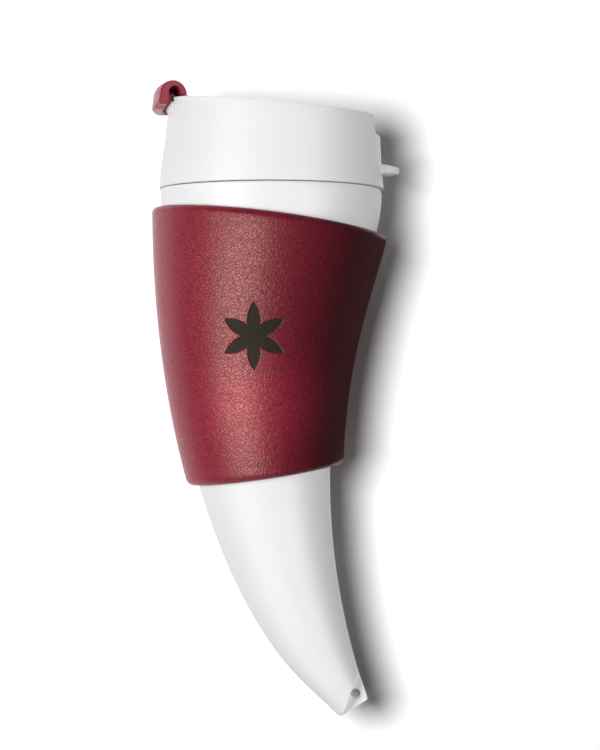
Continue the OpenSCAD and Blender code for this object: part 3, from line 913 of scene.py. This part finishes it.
# %% Strip, knuckle and the hook's root
STRIP_T, STRIP_SINK, STRIP_HALF, TONGUE_HALF = 2.2, 0.1, CHANNEL - 0.4, KNUCKLE_W / 2
STRIP_FROM, STRIP_TO = 0.6 - ARCH_IN, 27
edge = [(STRIP_FROM, STRIP_HALF), (STRIP_TO, STRIP_HALF), (STRIP_TO, TONGUE_HALF), (HINGE.x, TONGUE_HALF)]
outline = [(x, -y) for x, y in edge] + edge[::-1]
strip = slab([(x, y, -STRIP_SINK - STRIP_T) for x, y in outline], (0, 0, STRIP_T))
uprights = [e for e in strip.edges if abs(e.verts[0].co.z - e.verts[1].co.z) > 1]
round_off(strip, [e for e in uprights if e.verts[0].co.x < HINGE.x - 1], 1.5, 5)
soften(strip, 0.45)
put(strip, (0, 0, LID_H), Matrix.Rotation(LID_SLOPE, 3, "Y"))
knuckle = put(lathe(round_bar(KNUCKLE_R, -TONGUE_HALF, TONGUE_HALF, 0.4), 64), HINGE, QUARTER)
bore = put(flared_cutter(PIN_R + 0.05, -TONGUE_HALF, TONGUE_HALF, 0.25, 48), HINGE, QUARTER)
root_in, root_out = ARCH_ROOT + 0.4, ARCH_IN - 0.4
root_low, root_high = top_level(-ARCH_IN) - 0.6 * STRIP_T, ARCH_FOOT + 0.5
root = swept([(root_in, root_low), (root_out, root_low), (root_out, root_high), (root_in, root_high)],
             asin(STRIP_HALF / ARCH_IN), 40)
lever = hook
for shape in (root, strip, knuckle):
    lever = carve(lever, shape, "UNION")
lever = carve(lever, bore, "DIFFERENCE")
keep(lever, "lever_moulding", "lever", crimson, "crimson_plastic", "closure_lever", weighted=True)

# %% [markdown]
# ## Hidden fittings
# The rest only shows when the cup is opened: the seal under the lid, the two plugs under the lever, the
# hinge pin and the screw threads. All are turned shapes. A thread is a small section that is spun
# and raised at once, and its ends run out into the wall. The lid's ridges lie half-way between those
# of the neck, so the two screws pass each other.

# %% Seal, plugs and pin
SEAL_IN, SEAL_OUT, SEAL_ROUND = NECK_IN + 0.3, NECK_R - 0.3, 0.5
PLUG_ROOM, PLUG_ROUND, PLUG_GAP, FLANGE_MORE, FLANGE_T = 0.3, 0.4, 0.04, 1.6, 1.2
corners = ((SEAL_IN, NECK_H, 180), (SEAL_OUT, NECK_H, 270), (SEAL_OUT, SEAL_Z, 0), (SEAL_IN, SEAL_Z, 90))
seal = [p for r, z, start in corners for p in rounded(r, z, SEAL_ROUND, start, start + 90, 5)]
keep(lathe(seal, 160, closed=True), "lid_seal_ring", "seal", silicone, "silicone", "lid_gasket")
for name, node, x, radius in (("sip_stopper", "sip_plug", SIP_X, SIP_R),
                              ("vent_stopper", "vent_plug", VENT_X, VENT_R)):
    stem, flange = radius - PLUG_ROOM, radius + FLANGE_MORE
    foot = -LID_PLATE - PLUG_ROUND
    section = [(0, foot)] + rounded(stem, foot, PLUG_ROUND, -90, 0, 4) + [(stem, 0)]
    section += rounded(flange, 0.1, 0.3, -90, 0, 3) + [(flange, FLANGE_T), (0, FLANGE_T)]
    plug = put(lathe(section, 64), (x, 0, floor_level(x)), TILT)
    for v in plug.verts:
        if v.co.z > floor_level(v.co.x) + 1:
            v.co.z = top_level(v.co.x) - (STRIP_SINK + STRIP_T + PLUG_GAP) / cos(LID_SLOPE)
    keep(plug, name, "lever", silicone, "silicone", node)
pin_half = SADDLE_FROM + SADDLE_W
pin = put(lathe(round_bar(PIN_R, -pin_half, pin_half, 0.35), 48), HINGE, QUARTER)
keep(pin, "hinge_pin", "lid", steel, "pin_steel", "lever_pin")

# %% Screw threads
STARTS, LEAD, THREAD_TURN, THREAD_STEPS = 3, 12, radians(300), 100
THREAD_H, THREAD_FOOT, THREAD_TOP, THREAD_ROOT = 0.95, 0.95, 0.35, 0.25


def screw(radius, inwards, first_z, first_angle):
    """Ridges of a screw on a wall, which point in or out; inwards is 1 or -1"""
    bm = bmesh.new()
    rise = LEAD * THREAD_TURN / (2 * pi)
    base, crest = radius + THREAD_ROOT * inwards, radius - THREAD_H * inwards
    ridge = [(base, -THREAD_FOOT), (crest, -THREAD_TOP), (crest, THREAD_TOP), (base, THREAD_FOOT)]
    for k in range(STARTS):
        turn = Matrix.Rotation(first_angle + 2 * pi * k / STARTS, 3, "Z")
        face = flat_shape(bm, [turn @ Vector((r, 0, first_z + z)) for r, z in ridge])
        spin(bm, [face, *face.edges, *face.verts], THREAD_TURN, THREAD_STEPS, rise=rise / THREAD_STEPS)
    for v in bm.verts:
        share = (v.co.z - first_z) / rise
        full = smooth_step(-0.02, 0.09, share) * smooth_step(1.02, 0.91, share)
        r = hypot(v.co.x, v.co.y)
        kept = (base + (r - base) * full) / r
        v.co.x, v.co.y = v.co.x * kept, v.co.y * kept
    return clean(bm)


keep(screw(NECK_R, -1, 2.6, 0), "neck_thread", "cup", white, "white_plastic", crease=50)
keep(screw(SKIRT_IN, 1, 3.2, pi / 3), "lid_thread", "lid", white, "white_plastic", crease=50)

# %% [markdown]
# ## Camera, light and backdrop
# The photograph looks straight at the bend from about 85 cm with a long lens. A soft key light from the
# front left shapes the horn. The leather has a key of its own, a snoot for its pool of light and a
# glint that only its gloss shows. Strips at the left draw the pale edges, a weak fill from the right
# reaches the white plastic and the lever, and a lamp behind lights the white back. Reflections see a
# dark studio with a card on either side and two flags at the sleeve. The wall and the floor have their
# own lamps, so that they stay white without more light on the cup, and they fade out at their edges.
# The wall's lamp beside the camera gives the soft shadow, without the lever's, as in the photograph.

# %% Camera
CAMERA_AWAY, PIXEL_MM, FRAME_H = 850, 0.39, 750
view_at = in_frame(11.19, -CAMERA_AWAY, -72.13)
lens = bpy.data.cameras.new("camera")
lens.sensor_width, lens.lens = 36, 36 * CAMERA_AWAY / (PIXEL_MM * FRAME_H)
lens.clip_start, lens.clip_end = 0.01, 20
camera = linked("camera", lens)
camera.location, camera.rotation_euler = view_at, (pi / 2, 0, 0)
bpy.context.scene.camera = camera
bpy.context.scene.view_settings.view_transform = "Standard"
print("lens", round(lens.lens, 1), "mm")

# %% World
AMBIENT = 0.08
world = bpy.data.worlds.new("studio")
world.use_nodes = True
bpy.context.scene.world = world
rays = add(world, "LightPath", {}).outputs
seen = add(world, "Math", {0: rays["Is Camera Ray"], 1: rays["Is Glossy Ray"]}, operation="MAXIMUM")
seen = add(world, "Math", {0: seen, 1: rays["Is Transmission Ray"]}, operation="MAXIMUM")
join(world, world.node_tree.nodes["Background"],
     {"Color": (1, 1, 1, 1), "Strength": ranged(world, seen, AMBIENT, 1)})
print("ambient light:", AMBIENT)

# %% Wall, floor and cards
WALL_Y, WALL_HALF, FLOOR_Z, FLOOR_HALF, FADE_FROM = 0.06, 0.3, -0.3, 4, 0.72
ROOM_R, ROOM_OPEN = 3.5, 0.1
# The grey card and the two flags glow evenly: painted reflected light in place of lit grey cards.
CARDS = (  # name, glow, half size in metres, axis it is turned about, place in millimetres
    ("black_card", 0, 0.3, "Y", (-275, -242, EYELET.z + 120)),
    ("grey_card", 0.18, 0.3, "Y", (95, -242, EYELET.z + 120)),
    ("sleeve_flag", 0.04, 0.05, "X", (62, 57, -62)),
    ("rim_flag", 0.04, 0.036, "X", (96, 57, -148)))


def square(half_size, axis, turn, at):
    """A square sheet, turned about an axis and moved to its place"""
    bm = bmesh.new()
    bmesh.ops.create_grid(bm, x_segments=1, y_segments=1, size=half_size)
    return put(bm, at, Matrix.Rotation(turn, 3, axis))


def matt_finish(name, millimetres, low, high):
    """A finish without gloss, mottled between two cards"""
    finish, shader, where = new_finish(name)
    colour = toned(finish, noise(finish, where, millimetres), low, high)
    join(finish, shader, {"Base Color": colour, "Roughness": 1, "Specular IOR Level": 0})
    return finish, shader, where


def staged(bm, name, finish, *unseen_by):
    """A piece of the stage that these kinds of rays pass by"""
    obj = shaped(bm, name)
    obj.data.materials.append(finish)
    for kind in unseen_by:
        setattr(obj, "visible_" + kind, False)
    obj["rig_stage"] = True
    return obj


def pale_sheet(name, at, turn, half_size):
    """A plain sheet that only shows from its front, fades out at its edge and lets light through"""
    finish, shader, where = matt_finish(name + "_matt_paper", 200, "#FAFAFA", "#FFFFFF")
    behind = add(finish, "NewGeometry", {}).outputs["Backfacing"]
    from_middle = add(finish, "VectorMath", {0: where, 1: at}, operation="DISTANCE").outputs["Value"]
    faded = ranged(finish, from_middle, 0, 1, FADE_FROM * half_size, half_size)
    unseen = add(finish, "Math", {0: behind, 1: faded}, operation="MAXIMUM")
    both = add(finish, "MixShader", {0: unseen, 1: shader, 2: add(finish, "BsdfTransparent", {})})
    join(finish, finish.node_tree.nodes["Material Output"], {"Surface": both})
    return staged(square(half_size, "X", turn, at), name, finish, "shadow", "diffuse")


def dark_cloth(name, glow, bm):
    """A dark cloth that only reflections see, a painted dark reflection; a glow above zero paints the
    reflection of a lit grey card
    """
    finish, shader, _ = matt_finish(name + "_cloth", 300, "#101010", "#1A1A1A")
    join(finish, shader, {"Emission Color": card("#FFFFFF"), "Emission Strength": glow})
    staged(bm, name, finish, "camera", "shadow", "diffuse", "transmission")


target = (cad_low + cad_high) / 2
wall = pale_sheet("wall", (target.x, WALL_Y, target.z), pi / 2, WALL_HALF)
floor = pale_sheet("floor", (0, 0, FLOOR_Z), 0, FLOOR_HALF)
room = bmesh.new()
bmesh.ops.create_uvsphere(room, u_segments=32, v_segments=16, radius=ROOM_R)
bmesh.ops.delete(room, geom=[v for v in room.verts if v.co.y > ROOM_OPEN], context="VERTS")
dark_cloth("dark_room", 0, room)
for name, glow, half_size, axis, at in CARDS:
    dark_cloth(name, glow, square(half_size, axis, pi / 2, in_frame(*at)))
print("wall, floor, dark room and", len(CARDS), "cards")

# %% Lamps and what they reach
SNOOT_HALF, BESIDE_LENS = radians(1.35), Vector((-0.156, 0.1, 0.026))
POWER = {"AREA": pi * pi, "SPOT": 4 * pi * pi, "SUN": pi}  # watts for a strength of 1 from a metre away


def group(name, objects):
    """A collection of objects that a lamp reaches, or that throw its shadow"""
    members = bpy.data.collections.new(name)
    for obj in objects:
        members.objects.link(obj)
    return members


def lamp(name, azimuth, elevation, distance, strength, reached, size=(0, 0), kind="AREA", aim=target):
    """A lamp that looks at its aim from this side, in degrees, and reaches only one group"""
    light = bpy.data.lights.new(name, kind)
    light.energy = strength * POWER[kind] * distance * distance
    if kind == "AREA":
        light.shape, light.size, light.size_y = "RECTANGLE", *size
    a, e = radians(azimuth), radians(elevation)
    back = Vector((sin(a) * cos(e), -cos(a) * cos(e), sin(e)))
    obj = linked(name, light)
    obj.location = aim + back * distance
    obj.rotation_euler = back.to_track_quat("Z", "Y").to_euler()
    obj.light_linking.receiver_collection = reached
    return obj


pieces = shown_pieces()
whites, levers, leathers = [[p for p in pieces if p.get("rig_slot") == slot]
                            for slot in ("white_plastic", "crimson_plastic", "crimson_leather")]
only_white = group("white pieces", whites)
white_and_lever = group("white pieces and lever", whites + levers)
not_white = group("all but white", [p for p in pieces if p not in whites])
leather_pieces = group("leather pieces", leathers)
not_leather = group("all but leather", [p for p in pieces if p not in leathers])
lamp("key", -42, -1, 2, 0.8, not_leather, (0.75, 1.2))
lamp("leather_key", -45, -1, 2, 0.95, leather_pieces, (0.75, 1.2)).visible_glossy = False
snoot = lamp("leather_snoot", -30, -7.97, 1, 0.52, leather_pieces, kind="SPOT",
             aim=in_frame(-6, -36, -84))
snoot.data.shadow_soft_size, snoot.data.spot_size, snoot.data.spot_blend = 0.01, 2 * SNOOT_HALF, 1
snoot.visible_glossy = False
lamp("left_strip", -128, 5, 0.9, 0.38, not_white, (0.2, 0.9))
lamp("white_edge", -90, 0, 1.5, 0.15, only_white, (0.5, 0.9))
lamp("back_fill", 180, 55, 2, 0.55, only_white, (0.8, 0.8))
lamp("white_fill", 41, -3, 2, 0.56, white_and_lever, (1, 1.3))
glint = lamp("leather_glint", -27, -13, 1.2, 1.95, leather_pieces, (0.9, 0.35))
glint.data.color = card("#FFDFCD")[:3]
glint.visible_diffuse = False
wall_lamp = lamp("wall_lamp", -10, 2, 0.75, 1.46, group("wall only", [wall]), (0.23, 0.2))
wall_lamp.data.shape = "ELLIPSE"
wall_lamp.location = view_at + BESIDE_LENS
shadowed = [p for p in pieces if p not in levers and not p.name.endswith("stopper")]
wall_lamp.light_linking.blocker_collection = group("wall shadow", shadowed)
floor_sun = lamp("floor_sun", -30, 70, 1, 1, group("floor only", [floor]), kind="SUN")
floor_sun.data.angle = radians(25)
print("pieces that the lamps reach:", len(pieces))
